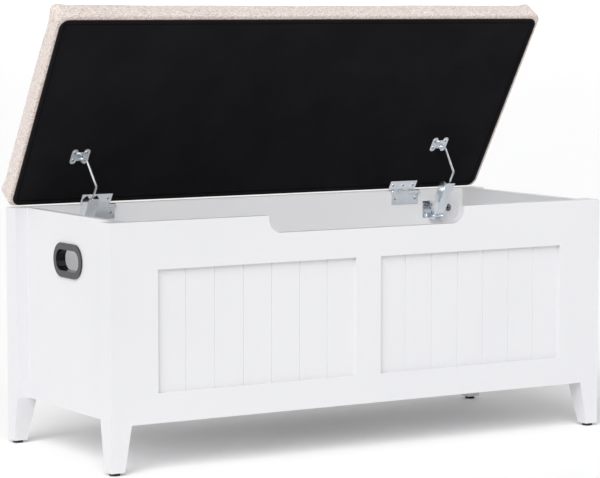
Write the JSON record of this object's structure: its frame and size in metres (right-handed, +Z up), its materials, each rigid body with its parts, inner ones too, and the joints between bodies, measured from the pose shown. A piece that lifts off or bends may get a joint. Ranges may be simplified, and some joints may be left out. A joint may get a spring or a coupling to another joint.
{
  "type": "storage bench",
  "caption": "Storage bench with a padded lift-up lid held open by spring stays, a grooved front and grip holes in both ends.",
  "frame": {"origin": "on the floor under the centre of the body, between its four legs", "axes": "+X along the bench's length, +Y towards the back panel, +Z up"},
  "size_m": [1.0045, 0.4193, 0.7717],
  "materials": {
    "white_paint": "satin white paint over wood and fibreboard",
    "white_paint_inside": "white laminate",
    "black_glide": "moulded, slightly rough",
    "black_gloss": "polished moulding",
    "linen": "beige slub weave",
    "black_cloth": "non-woven dust cloth",
    "foam": "open-cell upholstery foam",
    "raw_wood": "unfinished",
    "spring_steel": "bright zinc",
    "grey_plastic": "moulded",
    "zinc_steel": "blue zinc plate"
  },
  "bodies": {
    "bench": {"back_panel": "white_paint", "bead_panel_left": "white_paint", "bead_panel_right": "white_paint", "bottom_panel": "white_paint_inside", "cam_bolts": "zinc_steel", "cam_locks": "zinc_steel", "centre_batten": "white_paint_inside", "cleat_front": "white_paint_inside", "cleat_rear": "white_paint_inside", "dowels": "raw_wood", "front_bottom_rail": "white_paint", "front_top_rail": "white_paint", "glide_front_left": "black_glide", "glide_front_right": "black_glide", "glide_rear_left": "black_glide", "glide_rear_right": "black_glide", "grip_ring_left": "black_gloss", "grip_ring_right": "black_gloss", "hinge_body_leaf_left": "zinc_steel", "hinge_body_leaf_right": "zinc_steel", "hinge_body_screws": "zinc_steel", "hinge_pin_left": "zinc_steel", "hinge_pin_right": "zinc_steel", "leg_front_left": "white_paint", "leg_front_right": "white_paint", "leg_rear_left": "white_paint", "leg_rear_right": "white_paint", "side_panel_left": "white_paint", "side_panel_right": "white_paint", "stay_base_left": "zinc_steel", "stay_base_right": "zinc_steel", "stay_base_screws": "zinc_steel", "stay_rivet_left": "zinc_steel", "stay_rivet_right": "zinc_steel", "stile_centre": "white_paint", "stile_left": "white_paint", "stile_right": "white_paint"},
    "lid": {"dust_cover": "black_cloth", "hinge_lid_leaf_left": "zinc_steel", "hinge_lid_leaf_right": "zinc_steel", "hinge_lid_screws": "zinc_steel", "lid_board": "raw_wood", "seat_cover": "linen", "seat_foam": "foam", "stay_bracket_screws": "zinc_steel", "stay_lid_bracket_left": "zinc_steel", "stay_lid_bracket_right": "zinc_steel"},
    "channel_left": {"stay_channel_left": "zinc_steel", "stay_spring_left": "spring_steel"},
    "plunger_left": {"stay_plunger_left": "grey_plastic"},
    "wire_left": {"stay_wire_left": "spring_steel"},
    "channel_right": {"stay_channel_right": "zinc_steel", "stay_spring_right": "spring_steel"},
    "plunger_right": {"stay_plunger_right": "grey_plastic"},
    "wire_right": {"stay_wire_right": "spring_steel"}
  },
  "joints": [
    {"name": "lid_hinge", "type": "hinge", "parent": "bench", "child": "lid", "pos_m": [0, 0.1785, 0.414], "axis": [1, 0, 0], "range_deg": [0, 57.5]},
    {"name": "stay_turn_left", "type": "hinge", "parent": "bench", "child": "channel_left", "pos_m": [-0.368, 0.165, 0.365], "axis": [1, 0, 0], "range_deg": [0, 50.2]},
    {"name": "plunger_slide_left", "type": "slide", "parent": "channel_left", "child": "plunger_left", "axis": [0, -0.5225, 0.8526], "range_m": [-0.0428, 0], "deforming": ["stay_spring_left"]},
    {"name": "wire_turn_left", "type": "hinge", "parent": "lid", "child": "wire_left", "pos_m": [-0.3935, 0.11583, 0.50213], "axis": [1, 0, 0], "range_deg": [-7.5, 0]},
    {"name": "stay_turn_right", "type": "hinge", "parent": "bench", "child": "channel_right", "pos_m": [0.392, 0.165, 0.365], "axis": [1, 0, 0], "range_deg": [0, 50.2]},
    {"name": "plunger_slide_right", "type": "slide", "parent": "channel_right", "child": "plunger_right", "axis": [0, -0.5225, 0.8526], "range_m": [-0.0428, 0], "deforming": ["stay_spring_right"]},
    {"name": "wire_turn_right", "type": "hinge", "parent": "lid", "child": "wire_right", "pos_m": [0.3665, 0.11583, 0.50213], "axis": [1, 0, 0], "range_deg": [-7.5, 0]}
  ],
  "couplings": [
    {"joint": "stay_turn_left", "follows": "lid_hinge", "ratio": 0.871},
    {"joint": "plunger_slide_left", "follows": "lid_hinge", "m_per_rad": -0.0425},
    {"joint": "wire_turn_left", "follows": "lid_hinge", "ratio": -0.129},
    {"joint": "stay_turn_right", "follows": "lid_hinge", "ratio": 0.871},
    {"joint": "plunger_slide_right", "follows": "lid_hinge", "m_per_rad": -0.0425},
    {"joint": "wire_turn_right", "follows": "lid_hinge", "ratio": -0.129}
  ]
}
